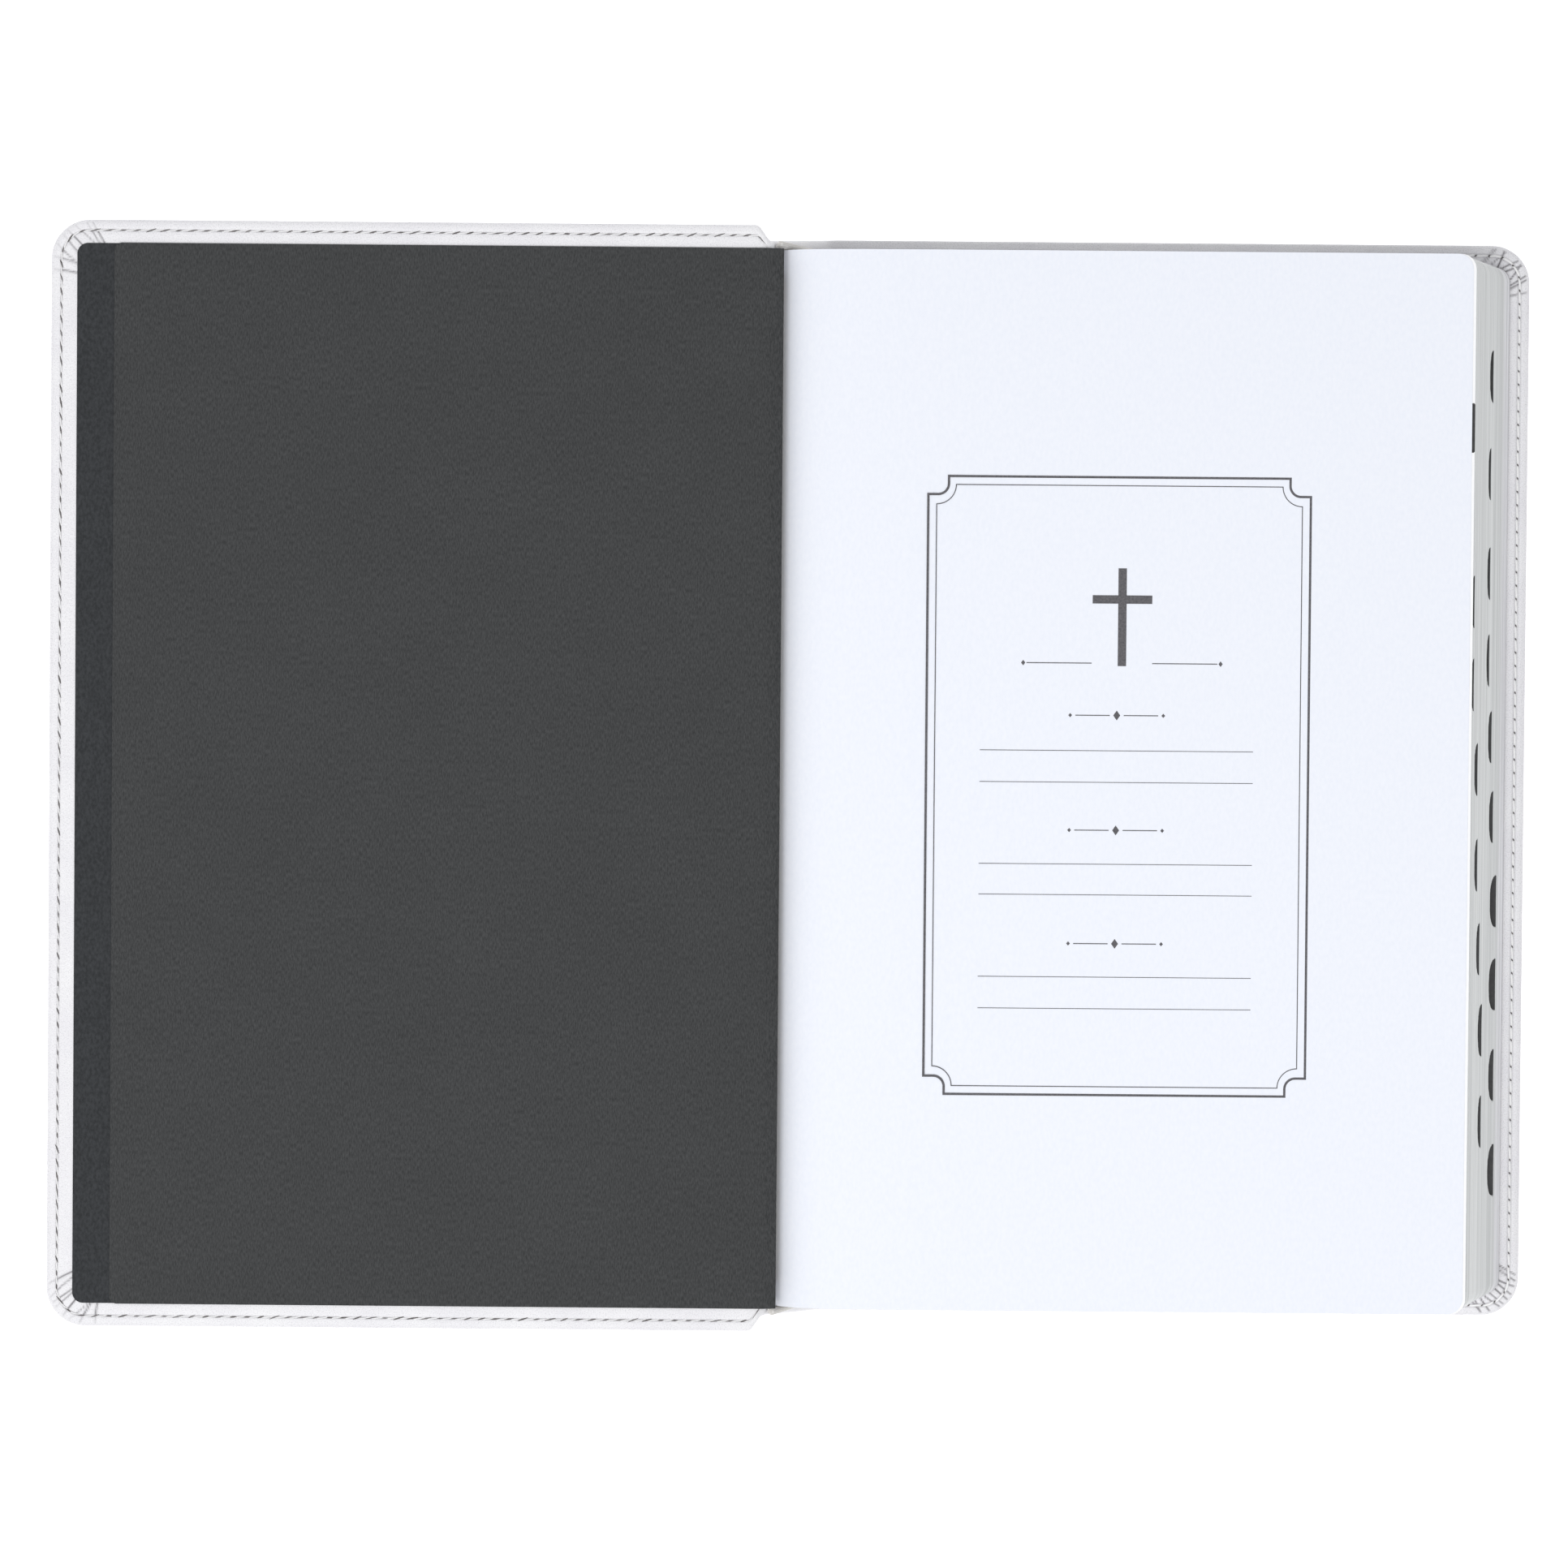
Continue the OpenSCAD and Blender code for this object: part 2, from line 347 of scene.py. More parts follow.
PAGE_EDGE = page_edge_material()
LABEL = speckled_material("index_label", 0.42, 900.0,
                          [(0.3, (0.008, 0.008, 0.010)), (0.7, (0.024, 0.023, 0.024))], (0.02, 0.3))
INK = speckled_material("print_ink", 0.7, 2600.0, [(0.3, (0.075, 0.073, 0.082)), (0.7, (0.135, 0.13, 0.14))],
                        detail=2.0)
BOARD = speckled_material("board", 0.9, 700.0, [(0.3, (0.50, 0.44, 0.35)), (0.7, (0.66, 0.59, 0.48))],
                          (0.05, 0.5), (1, 1, 3), detail=4.0)
LINING = woven_material("lining_cloth", (0.50, 0.46, 0.38), (0.78, 0.74, 0.64), 0.7)
BAND = woven_material("band_cloth", (0.62, 0.60, 0.57), (0.90, 0.885, 0.87), 0.5)


def finish_piece(obj, materials, stands_for=()):
    """Gives a piece its materials and hides the CAD nodes that it stands for."""
    for m in materials:
        obj.data.materials.append(m)
    if stands_for:
        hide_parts(*stands_for)
    return obj


def at(x=0.0, y=0.0, z=0.0):
    return (x * MM, y * MM, z * MM)


# ---- the covering material: one flat sheet wrapped round front cover, spine and back cover ----
# A point of the sheet is (s, v, depth): s runs from the front fore-edge over the spine to the back fore-edge,
# v from tail to head, and depth outward from the line that joins the hinges.

BEND_R = 3.0            # of the leather at both hinges
CORNER_R = 8.5
TURN_IN = 15.0
SPINE_TURN_IN = 5.0
EDGE_R = 0.8
SEAM_D = 2.3            # the seam's distance from the edge
SPINE_PULL = 3.3        # how far the leather is drawn in where it starts down the spine
PULL_START, PULL_RUN = 3.6, 3.4
TANGENT = BEND_R * math.tan(SLOPE / 2)
MARK_1 = COVER_W - TANGENT                      # from mark 1 to 2 the sheet bends at the front hinge,
MARK_2 = MARK_1 + BEND_R * SLOPE
MARK_3 = MARK_2 + SPINE_L - 2 * TANGENT         # and from mark 3 to 4 at the back hinge
MARK_4 = MARK_3 + BEND_R * SLOPE
SHEET_L = MARK_4 + COVER_W - TANGENT
CUT_FRONT = MARK_3 - 6.0                        # the sheet is cut into three pieces here
CUT_BACK = (MARK_3 + MARK_4) / 2
JOINT_STOPS = [MARK_1 - 1.9, (MARK_1 + MARK_2) / 2, MARK_2 + 0.2,
               MARK_3 - 0.2, (MARK_3 + MARK_4) / 2, MARK_4 + 1.9]
LAYERS = {
    "outside": [0.9, 0.95, 1.6, 1.6, 0.95, 0.9],
    "lining": [0.3, 0.35, 1.05, 1.05, 0.35, 0.3],
    "turn_under": [-0.3, 0.25, 1.0, 1.0, 0.25, -0.3],
    "turn_top": [-0.7, -0.35, 0.5, 0.5, -0.35, -0.7],
}


def layer(name, s):
    """The depth of one of the sheet's layers at s."""
    return np.interp(s, JOINT_STOPS, LAYERS[name])


def spine_pull(s):
    """The share by which the sheet is drawn in at head and tail, most where it starts down the spine."""
    start = smoothstep((s - COVER_W + PULL_START) / PULL_RUN)
    fade = np.clip((COVER_W + SPINE_L - s) / SPINE_L, 0, 1)
    return SPINE_PULL * (start * fade) / COVER_HALF


def place(s, v, depth):
    """Points of the sheet in space."""
    s, v, depth = np.broadcast_arrays(np.asarray(s, float), np.asarray(v, float), np.asarray(depth, float))
    v = v * (1 - spine_pull(s))
    x, z, heading = np.zeros(s.shape), np.zeros(s.shape), np.zeros(s.shape)
    a = s <= MARK_1
    x[a], z[a] = FRONT_HINGE[0] - COVER_W + s[a], FRONT_HINGE[1]
    a = (s > MARK_1) & (s <= MARK_2)
    turn = (s[a] - MARK_1) / BEND_R
    x[a] = FRONT_HINGE[0] - TANGENT + BEND_R * np.sin(turn)
    z[a] = FRONT_HINGE[1] - BEND_R + BEND_R * np.cos(turn)
    heading[a] = -turn
    a = (s > MARK_2) & (s <= MARK_3)
    along = s[a] - MARK_2 + TANGENT
    x[a] = FRONT_HINGE[0] + along * math.cos(SLOPE)
    z[a] = FRONT_HINGE[1] - along * math.sin(SLOPE)
    heading[a] = -SLOPE
    a = (s > MARK_3) & (s <= MARK_4)
    turn = (MARK_4 - s[a]) / BEND_R
    x[a] = BACK_HINGE[0] + TANGENT - BEND_R * np.sin(turn)
    z[a] = BACK_HINGE[1] + BEND_R - BEND_R * np.cos(turn)
    heading[a] = -turn
    a = s > MARK_4
    x[a], z[a] = BACK_HINGE[0] + TANGENT + s[a] - MARK_4, BACK_HINGE[1]
    return np.stack([x + np.sin(heading) * depth, v, z - np.cos(heading) * depth], -1)


FINE_STEP, COARSE_STEP, FINE_REACH, GROWTH = 0.32, 3.0, 4.0, 0.35


def graded(start, end, marks=()):
    """Stations from start to end: fine steps near both ends and the marks, growing to coarse ones between."""
    stations = [start]
    anchors = [start, end, *marks]
    while stations[-1] < end:
        here = stations[-1]
        near = min(abs(here - a) for a in anchors)
        ahead = min([a - here for a in anchors if a > here + 1e-6], default=COARSE_STEP)
        step = min(COARSE_STEP, FINE_STEP + max(0.0, min(near, ahead) - FINE_REACH) * GROWTH)
        stations.append(min(here + step, end))
    return np.array(stations)


def with_marks(stations, marks):
    return np.array(sorted(set(np.round(stations, 6)) | {round(m, 6) for m in marks}))


S_STATIONS = with_marks(graded(CORNER_R, SHEET_L - CORNER_R, (MARK_1, MARK_2, MARK_3, MARK_4)),
                        (CUT_FRONT, CUT_BACK))
V_STATIONS = graded(CORNER_R - COVER_HALF, COVER_HALF - CORNER_R)
ARC_STEPS = 60
NARROWING = ([MARK_1 - 9, MARK_1 - 2, MARK_4 + 2, MARK_4 + 9], [TURN_IN, SPINE_TURN_IN, SPINE_TURN_IN, TURN_IN])
NARROW_FROM = 4.5


def turn_in_depth(s, d):
    """The turn-in is narrow along the spine, so the rows past the seam come closer together there."""
    width = np.interp(s, *NARROWING)
    closer = NARROW_FROM + (d - NARROW_FROM) * (width - NARROW_FROM) / (TURN_IN - NARROW_FROM)
    return np.where(d > NARROW_FROM, closer, d)


def edge_loop(d):
    """(s, v) round the sheet's edge at inset d, starting at the front fore-edge's tail end."""
    r = max(CORNER_R - d, 0)
    low_s, high_s = CORNER_R, SHEET_L - CORNER_R
    low_v, high_v = CORNER_R - COVER_HALF, COVER_HALF - CORNER_R
    s_end, v_end = SHEET_L - d, COVER_HALF - d
    arc = np.radians(np.arange(1, ARC_STEPS) * 90 / ARC_STEPS)
    near, far = r * np.cos(arc), r * np.sin(arc)
    side_v = np.clip(V_STATIONS, -v_end, v_end)
    side_s = np.clip(S_STATIONS, d, s_end)
    reach_v = COVER_HALF - turn_in_depth(S_STATIONS, d)

    def corner(s, v):
        return np.clip(s, d, s_end), np.clip(v, -v_end, v_end)

    parts = [
        (np.full(len(side_v), d), side_v), corner(low_s - near, high_v + far),
        (side_s, reach_v), corner(high_s + far, high_v + near),
        (np.full(len(side_v), s_end), side_v[::-1]), corner(high_s + near, low_v - far),
        (side_s[::-1], -reach_v[::-1]), corner(low_s - far, low_v - near),
    ]
    return np.concatenate([np.column_stack(p) for p in parts])


FAN_CENTRE = 16.5           # the creases fan out from here, measured in from both edges
FAN_START, FAN_END = 24.0, 66.0
VALLEY_W = 0.19
FLANK_W, FLANK_RISE = 1.3, 0.38
PLEAT_INSETS = [0.3, 0.9, 2.0, 2.6, 7.0, 8.0, CORNER_R]


def pleats(loop, d):
    """The gathered corners' creases at each point of an edge loop: how far they sink in, and how much painted shade
    darkens their valleys.
    """
    sunk, dark = np.zeros(len(loop)), np.zeros(len(loop))
    if d <= PLEAT_INSETS[0] or d > CORNER_R:
        return sunk, dark
    for corner, (back, head) in enumerate(((0, 1), (1, 1), (1, 0), (0, 0))):
        rng = random.Random(31 + corner)
        in_s = SHEET_L - loop[:, 0] if back else loop[:, 0]
        in_v = COVER_HALF - loop[:, 1] if head else COVER_HALF + loop[:, 1]
        away_s, away_v = FAN_CENTRE - in_s, FAN_CENTRE - in_v
        reach = np.hypot(away_s, away_v)
        angle = np.degrees(np.arctan2(away_v, away_s))
        close = (away_s > 0) & (away_v > 0)
        deep, creases, outside = (0.30, 10, 0.9) if back else (0.24, 8, 0.35)
        strength = np.interp(d, PLEAT_INSETS, [0, outside, outside, 1, 1, 0.8, 0.5])
        step = (FAN_END - FAN_START) / (creases - 1)
        for i in range(creases):
            line = FAN_START + i * step + rng.uniform(-0.28, 0.28) * step
            bend = rng.uniform(-1.3, 1.3)
            apart = reach * np.radians(angle - line + bend * (d - 3.0)) * (1 if line < 45 else -1)
            depth = deep * rng.uniform(0.6, 1.25)
            valley = np.exp(-(apart / VALLEY_W) ** 2)
            flank = np.where((apart > 0) & (apart < FLANK_W), FLANK_RISE * (1 - apart / FLANK_W), 0)
            sunk = np.maximum(sunk, np.where(close, depth * np.maximum(valley, flank), 0))
            # painted shade along each crease's valley
            dark = np.maximum(dark, np.where(close, min(depth / deep, 1.0) * valley, 0))
        sunk = np.where(close, sunk * strength, sunk)
        dark = np.where(close, dark * strength, dark)
    return sunk, dark


def groove_shade(s, d):
    """Painted shade in the groove that the stitching pulls the leather down into, wider on the back cover."""
    def shade(reach, dark):
        return dark if abs(d - SEAM_D) < reach else 0.0
    return np.where(s > SHEET_L / 2, shade(0.45, 0.27), shade(0.2, 0.42))


# The rings that wind round the turned-in edge, on the outside and on the turned-in face: (inset, extra depth)
OUTSIDE_ROWS = [(TURN_IN, 0), (11, 0), (CORNER_R, 0), (6, 0), (4.2, 0), (3.1, 0.02), (2.65, -0.01),
                (SEAM_D, -0.09), (1.95, -0.01), (1.5, 0.02), (1.0, 0.0)]
TURNED_ROWS = [(0.9, -0.01), (1.2, -0.04), (1.6, -0.04), (1.95, 0.0), (2.12, 0.06), (SEAM_D, 0.1), (2.48, 0.06),
               (2.65, 0.0), (3.0, -0.04), (3.5, -0.03), (4.1, 0), (4.8, 0), (5.5, 0), (6.3, 0), (7.2, 0),
               (CORNER_R, 0), (11, 0), (TURN_IN, 0)]
EDGE_STEPS = 8


def sheet_rows():
    """All the rings of the sheet's edge: (inset, layer, other layer, share of the other, extra depth, creased)."""
    rows = [(d, "outside", "outside", 0, extra, False) for d, extra in OUTSIDE_ROWS]
    for k in range(1, EDGE_STEPS):
        turn = math.radians(-90 + k * 180 / EDGE_STEPS)
        inset, share = EDGE_R * (1 - math.cos(turn)), (1 + math.sin(turn)) / 2
        rows.append((inset, "outside", "turn_top", share, 0, False))
    rows += [(d, "turn_top", "turn_top", 0, extra, True) for d, extra in TURNED_ROWS]
    rows += [(d, "turn_under", "turn_under", 0, 0, False) for d in (TURN_IN, CORNER_R, 4.0, 0.9)]
    rows += [(0.6, "turn_under", "lining", 0.5, 0, False)]
    rows += [(d, "lining", "lining", 0, 0, False) for d in (0.9, 4.0, CORNER_R, TURN_IN)]
    return rows


def build_sheet():
    """All points (s, v, depth, painted shade) of the covering material, and its faces."""
    flat = []
    rows = sheet_rows()
    for d, one, other, share, extra, creased in rows:
        loop = edge_loop(d)
        depth = (1 - share) * layer(one, loop[:, 0]) + share * layer(other, loop[:, 0]) + extra
        sunk, dark = np.zeros(len(loop)), np.zeros(len(loop))
        if creased:
            sunk, dark = pleats(loop, d)
            # painted shade in the seam groove, on top of the crease valleys' painted shade
            dark = np.maximum(dark, groove_shade(loop[:, 0], d))
        flat.append(np.column_stack([loop, depth + sunk, dark]))
    faces = ring_faces(len(rows), len(flat[0]))
    s = np.clip(S_STATIONS, TURN_IN, SHEET_L - TURN_IN)
    limit = COVER_HALF - turn_in_depth(S_STATIONS, TURN_IN)
    v = np.clip(V_STATIONS[None, :], -limit[:, None], limit[:, None])
    v[:, 0], v[:, -1] = -limit, limit
    n = len(V_STATIONS)
    grid_s = np.repeat(s, n)
    for name in ("outside", "lining"):
        base = sum(len(f) for f in flat)
        flat.append(np.column_stack([grid_s, v.ravel(), layer(name, grid_s), np.zeros(grid_s.size)]))
        for i in range(len(s) - 1):
            for j in range(n - 1):
                a = base + i * n + j
                faces.append((a, a + 1, a + n + 1, a + n))
    return np.concatenate(flat), faces


def sheet_piece(name, low, high):
    """The part of the sheet whose faces' middles lie from low to high."""
    keep = [f for f in SHEET_FACES if low <= np.mean(SHEET[list(f), 0]) < high]
    used = sorted({i for f in keep for i in f})
    index = {old: new for new, old in enumerate(used)}
    part = SHEET[used]
    # The sheet's fourth column, the painted shade, becomes a point attribute of the piece.
    return make_mesh(name, place(part[:, 0], part[:, 1], part[:, 2]), [tuple(index[i] for i in f) for f in keep],
                     uv=part[:, :2], painted_shade=part[:, 3], merge=0.001, caps=True)


SHEET, SHEET_FACES = build_sheet()
SPLIT = tuple(place(CUT_BACK, 0, 0) * MM)
FOOT_BEND = (tuple(place(CUT_FRONT, 0, 0) * MM), SPLIT)
START, END = -1.0, SHEET_L + 1.0    # of the whole sheet

front_leather = sheet_piece("front_leather", START, CUT_FRONT)
foot_leather = sheet_piece("foot_leather", CUT_FRONT, CUT_BACK)
back_leather = sheet_piece("back_leather", CUT_BACK, END)
finish_piece(front_leather, [LEATHER], ["front_cover_skin", "spine_skin"])
finish_piece(foot_leather, [LEATHER], ["spine_skin"])
finish_piece(back_leather, [LEATHER], ["back_cover_skin"])
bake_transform(front_leather)
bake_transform(foot_leather)
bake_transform(back_leather)


# ---- stitches ----

STITCH = 2.97
STITCH_GAP = 0.16           # left free at both ends of a stitch
THREAD_SIDES = 8
HOLE_SIDES = 10
ALONG_STITCH = np.array([0.0, 0.07, 0.18, 0.34, 0.5, 0.66, 0.82, 0.93, 1.0])
MIDDLE = 4                  # of ALONG_STITCH


def seam_line():
    """(s, v) and length along the seam, as a dense closed line."""
    loop = edge_loop(SEAM_D)
    loop = np.concatenate([loop, loop[:1]])
    steps = np.hypot(*np.diff(loop, axis=0).T)
    loop = loop[np.concatenate([[True], steps > 1e-6])]
    length = np.concatenate([[0], np.cumsum(np.hypot(*np.diff(loop, axis=0).T))])
    return loop, length


SEAM, SEAM_LENGTH = seam_line()


def on_seam(t):
    """The seam's point and direction, (s, v, ds, dv), at length t."""
    t = np.mod(t, SEAM_LENGTH[-1])
    ahead = np.mod(t + 0.3, SEAM_LENGTH[-1])
    s, v = np.interp(t, SEAM_LENGTH, SEAM[:, 0]), np.interp(t, SEAM_LENGTH, SEAM[:, 1])
    ds, dv = np.interp(ahead, SEAM_LENGTH, SEAM[:, 0]) - s, np.interp(ahead, SEAM_LENGTH, SEAM[:, 1]) - v
    size = np.maximum(np.hypot(ds, dv), 1e-9)
    return s, v, ds / size, dv / size


def stitch_shape(line, skew, wide, rise, name, sign, crown):
    """A stitch lying on a layer of the sheet. sign is 1 on the outside and -1 on the turned-in face."""
    s, v, ds, dv = line
    centre = layer(name, s) + sign * (crown - 0.2 * (1 - rise))
    rings = []
    for k in range(THREAD_SIDES):
        a = 2 * math.pi * k / THREAD_SIDES
        aside = skew + math.cos(a) * wide
        rings.append(np.column_stack([s - dv * aside, v + ds * aside, centre + sign * math.sin(a) * wide * 0.8]))
    count = len(ALONG_STITCH)
    faces = ring_faces(count, THREAD_SIDES) + [
        tuple(range(THREAD_SIDES))[::-1], tuple((count - 1) * THREAD_SIDES + k for k in range(THREAD_SIDES))]
    return np.stack(rings, 1).reshape(-1, 3), faces


def hole_shape(start, length, width, tilt, name, below, above):
    """A flat ellipse painted dark for the shade in the needle hole where a stitch starts; it lies across the seam at
    a slant.
    """
    s, v, ds, dv = (float(q) for q in on_seam(np.array(start)))
    rim = []
    for k in range(HOLE_SIDES):
        a = 2 * math.pi * k / HOLE_SIDES
        p, q = length * math.cos(a), width * math.sin(a)
        p, q = p * math.cos(tilt) - q * math.sin(tilt), p * math.sin(tilt) + q * math.cos(tilt)
        rim.append((s + ds * p - dv * q, v + dv * p + ds * q))
    rim = np.array(rim)
    surface = layer(name, rim[:, 0])
    points = np.concatenate([np.column_stack([rim, surface + below]), np.column_stack([rim, surface + above])])
    faces = [tuple(range(HOLE_SIDES)), tuple(range(HOLE_SIDES, 2 * HOLE_SIDES))] + ring_faces(2, HOLE_SIDES)
    return s, points, faces


def build_stitches():
    """Every stitch and the painted shade of each needle hole: (s in the middle, points (s, v, depth), faces,
    material).
    """
    count = round(SEAM_LENGTH[-1] / STITCH)
    pitch = SEAM_LENGTH[-1] / count
    rng = random.Random(7)
    shapes = []
    for i in range(count):
        start = i * pitch
        line = on_seam(start + STITCH_GAP + ALONG_STITCH * (pitch - 2 * STITCH_GAP))
        middle = line[0][MIDDLE]
        front = middle < (MARK_2 + MARK_3) / 2
        skew = (ALONG_STITCH - 0.5) * (0.34 if front else 0.16) + rng.uniform(-0.04, 0.04)
        rise = np.sin(np.pi * np.clip(ALONG_STITCH, 0.02, 0.98)) ** 0.6
        wide = (0.12 if front else 0.25) * np.interp(ALONG_STITCH, [0, 0.12, 0.88, 1], [0.45, 1, 1, 0.45])
        for name, sign, crown, above in (("turn_top", -1, 0.04, -0.03), ("outside", 1, -0.01 - wide * 0.8, -0.02)):
            shapes.append((middle, *stitch_shape(line, skew, wide, rise, name, sign, crown), 0))
            length, width = (rng.uniform(0.7, 1.35), rng.uniform(0.07, 0.15)) if front else (0.32, 0.13)
            tilt = math.radians(9 + rng.uniform(-14, 14) if front else 30 + rng.uniform(-8, 8))
            shapes.append((*hole_shape(start, length, width, tilt, name, 0.09 * -sign, above), 1))
    return shapes


STITCH_SHAPES = build_stitches()


def stitch_piece(name, low, high, stands_for):
    """The stitches, and the painted shade of their needle holes, whose middles lie from low to high along the sheet.
    """
    chosen = [shape for shape in STITCH_SHAPES if low <= shape[0] < high]
    points, faces = join_shapes([shape[1:3] for shape in chosen])
    kinds = [kind for _, _, quads, kind in chosen for _ in quads]
    obj = make_mesh(name, place(points[:, 0], points[:, 1], points[:, 2]), faces, uv=points[:, :2],
                    material_index=kinds)
    finish_piece(obj, [THREAD, HOLE_SHADE], stands_for)
    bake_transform(obj)


stitch_piece("front_stitches", START, CUT_FRONT, ["front_seam", "spine_seam"])
stitch_piece("foot_stitches", CUT_FRONT, CUT_BACK, ["spine_seam"])
stitch_piece("back_stitches", CUT_BACK, END, ["back_seam"])


# ---- the text block ----

GUTTER_DROP = 7.0
GUTTER_SPREAD = ((0.7, 4.2), (0.3, 13.0))    # the leaves fall into the gutter in two parts: share and reach
SAG_CLEARANCE = 0.3                          # keeps sagging slabs off the spine when the book is shut
SAG_POWER = 1.5
PAGE_CORNER_R = 3.3
CORNER_ARC = np.radians(np.linspace(0, 90, 9))
BACK_STEPS = np.array([0, 0.35, 0.8, 1.3, 1.9, 2.6, 3.4, 4.4, 5.6, 7, 9, 12, 16, 21, 28, 38, 52])
SLAB_LEVELS = 13
FORE_STATIONS = 640
PAGE_SHARP, BAND_SHARP = 35, 50              # degrees
NOTCH_LEN = 11.4
NOTCH_POWER = 2.5
LABEL_DEPTH = 1.65                           # of a notch that shows 1 mm wide from above
# Each thumb label: its place along the fore-edge, the height of its leaf, and how wide it shows from above
LABEL_PLACES = [
    (58.2, 36.0, 0.45), (39.5, 33.8, 0.6), (21.6, 33.6, 0.55), (3.2, 29.0, 0.7), (-17.6, 28.3, 0.63),
    (-36.0, 25.3, 0.7), (-53.9, 22.1, 0.85), (-73.9, 22.0, 0.7), (89.0, 17.5, 0.75), (67.6, 19.0, 0.55),
    (45.9, 18.6, 0.65), (26.9, 18.6, 0.6), (10.1, 15.5, 0.75), (-7.5, 13.1, 0.87), (-26.2, 9.0, 1.4),
    (-44.6, 8.9, 1.45), (-64.6, 9.8, 1.1), (-85.7, 8.7, 1.35),
]


def thumb_label(y, z, shows):
    width = LABEL_DEPTH * shows
    slab = int((z - BLOCK_LOW) / SLAB_H) + 1
    return {"slab": slab, "y": y, "z": z, "width": width, "top": z + width / LEAN + 0.1}


THUMB_LABELS = [thumb_label(*entry) for entry in LABEL_PLACES]


def notch_cut(label, y):
    """How far a notch reaches in from the fore-edge at y, measured at its floor."""
    apart = np.minimum(np.abs(y - label["y"]) / (NOTCH_LEN / 2), 1)
    return label["width"] * (1 - apart ** NOTCH_POWER) ** (1 / NOTCH_POWER)


def gutter_sag(from_back):
    """How far the top leaves fall towards the gutter."""
    (share, reach), (share_2, reach_2) = GUTTER_SPREAD
    return GUTTER_DROP * (share * np.exp(-from_back / reach) + share_2 * np.exp(-from_back / reach_2))


def slab_heights(k):
    return BLOCK_LOW + (k - 1) * SLAB_H, BLOCK_LOW + k * SLAB_H


def slab_outline(z, jitter, notches):
    """A slab's outline (x, y) at one height, counterclockwise from the spine's tail end."""
    edge = PAGE_HALF - PAGE_CORNER_R
    y_fore = np.linspace(-edge, edge, FORE_STATIONS)
    fore = fore_x(z) + jitter
    tail_x = back_x(z) + BACK_STEPS
    x = np.concatenate([tail_x, fore - PAGE_CORNER_R + PAGE_CORNER_R * np.sin(CORNER_ARC)[:-1]])
    y = np.concatenate([np.full(len(tail_x), -PAGE_HALF), -edge - PAGE_CORNER_R * np.cos(CORNER_ARC)[:-1]])
    x_fore = np.full(len(y_fore), fore)
    for b in notches:
        if b["z"] < z < b["top"]:
            depth = notch_cut(b, y_fore)
            x_fore = np.where(depth > 0, np.minimum(x_fore, fore_x(b["z"]) - depth), x_fore)
    return np.concatenate([x, x_fore, x[::-1]]), np.concatenate([y, y_fore, -y[::-1]])


def slab_piece(k):
    """The leaves between two neighbouring bodies of the block, with thumb notches and a sag towards the spine."""
    rng = random.Random(100 + k)
    z0, z1 = slab_heights(k)
    labels = [b for b in THUMB_LABELS if b["slab"] == k]
    notches = [b for b in THUMB_LABELS if b["z"] < z1 and b["top"] > z0]
    tiny = 0.004
    levels = set(np.round(np.linspace(z0, z1, SLAB_LEVELS), 5))
    for b in labels:
        levels |= {b["z"] - tiny, b["z"] + tiny}
    rings = []
    for z in sorted(levels):
        jitter = rng.uniform(-0.05, 0.03) if z0 < z < z1 else 0.0
        if any(abs(z - b["z"]) < 2 * tiny for b in labels):
            jitter = 0.0
        x, y = slab_outline(z, jitter, notches)
        height = max((z - BLOCK_LOW) / (BLOCK_TOP - BLOCK_LOW), 0)
        sag = gutter_sag(np.maximum(x - back_x(z), 0)) * height ** SAG_POWER
        rings.append(np.column_stack([x + (LEAN + SAG_CLEARANCE) * sag, y, z - sag]))
    n, steps = len(rings[0]), len(BACK_STEPS)
    top = cap_faces((len(rings) - 1) * n, n, steps)
    faces = ring_faces(len(rings), n) + cap_faces(0, n, steps) + top
    obj = make_mesh(f"text_pages_{k}", np.concatenate(rings), faces)
    sharpen(obj, PAGE_SHARP)
    stands_for = [f"text_section_{k}"] + (["text_section_9"] if k == SLABS else [])
    finish_piece(obj, [PAGE_EDGE, TEXT_PAGE], stands_for)
    for face in obj.data.polygons[-len(top):]:
        face.material_index = 1
    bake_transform(obj)
    if labels:
        labels_piece(k, labels)


def labels_piece(k, labels):
    """The black half-moons that lie in a slab's notches."""
    shapes = []
    for b in labels:
        y = np.linspace(b["y"] - NOTCH_LEN / 2 + 0.05, b["y"] + NOTCH_LEN / 2 - 0.05, 33)
        outer = fore_x(b["z"]) - 0.06 - 0.02 * np.cos((y - b["y"]) * 0.5)
        inner = np.minimum(fore_x(b["z"]) - notch_cut(b, y) - 0.02, outer - 0.02)
        rim = np.concatenate([np.column_stack([outer, y]), np.column_stack([inner, y])[::-1]])
        n = len(rim)
        upper = rim - [LEAN * 0.12, 0]
        points = np.concatenate([np.column_stack([rim, np.full(n, b["z"] + 0.01)]),
                                 np.column_stack([upper, np.full(n, b["z"] + 0.13)])])
        shapes.append((points, [tuple(range(n)), tuple(range(n, 2 * n))] + ring_faces(2, n)))
    obj = make_mesh(f"thumb_labels_{k}", *join_shapes(shapes))
    sharpen(obj, PAGE_SHARP)
    finish_piece(obj, [LABEL], [f"index_tabs_{k}"])
    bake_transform(obj)


for slab in range(1, SLABS + 1):
    slab_piece(slab)


# ---- loose leaves ----

BLOCK_BACK_TOP = back_x(BLOCK_TOP)


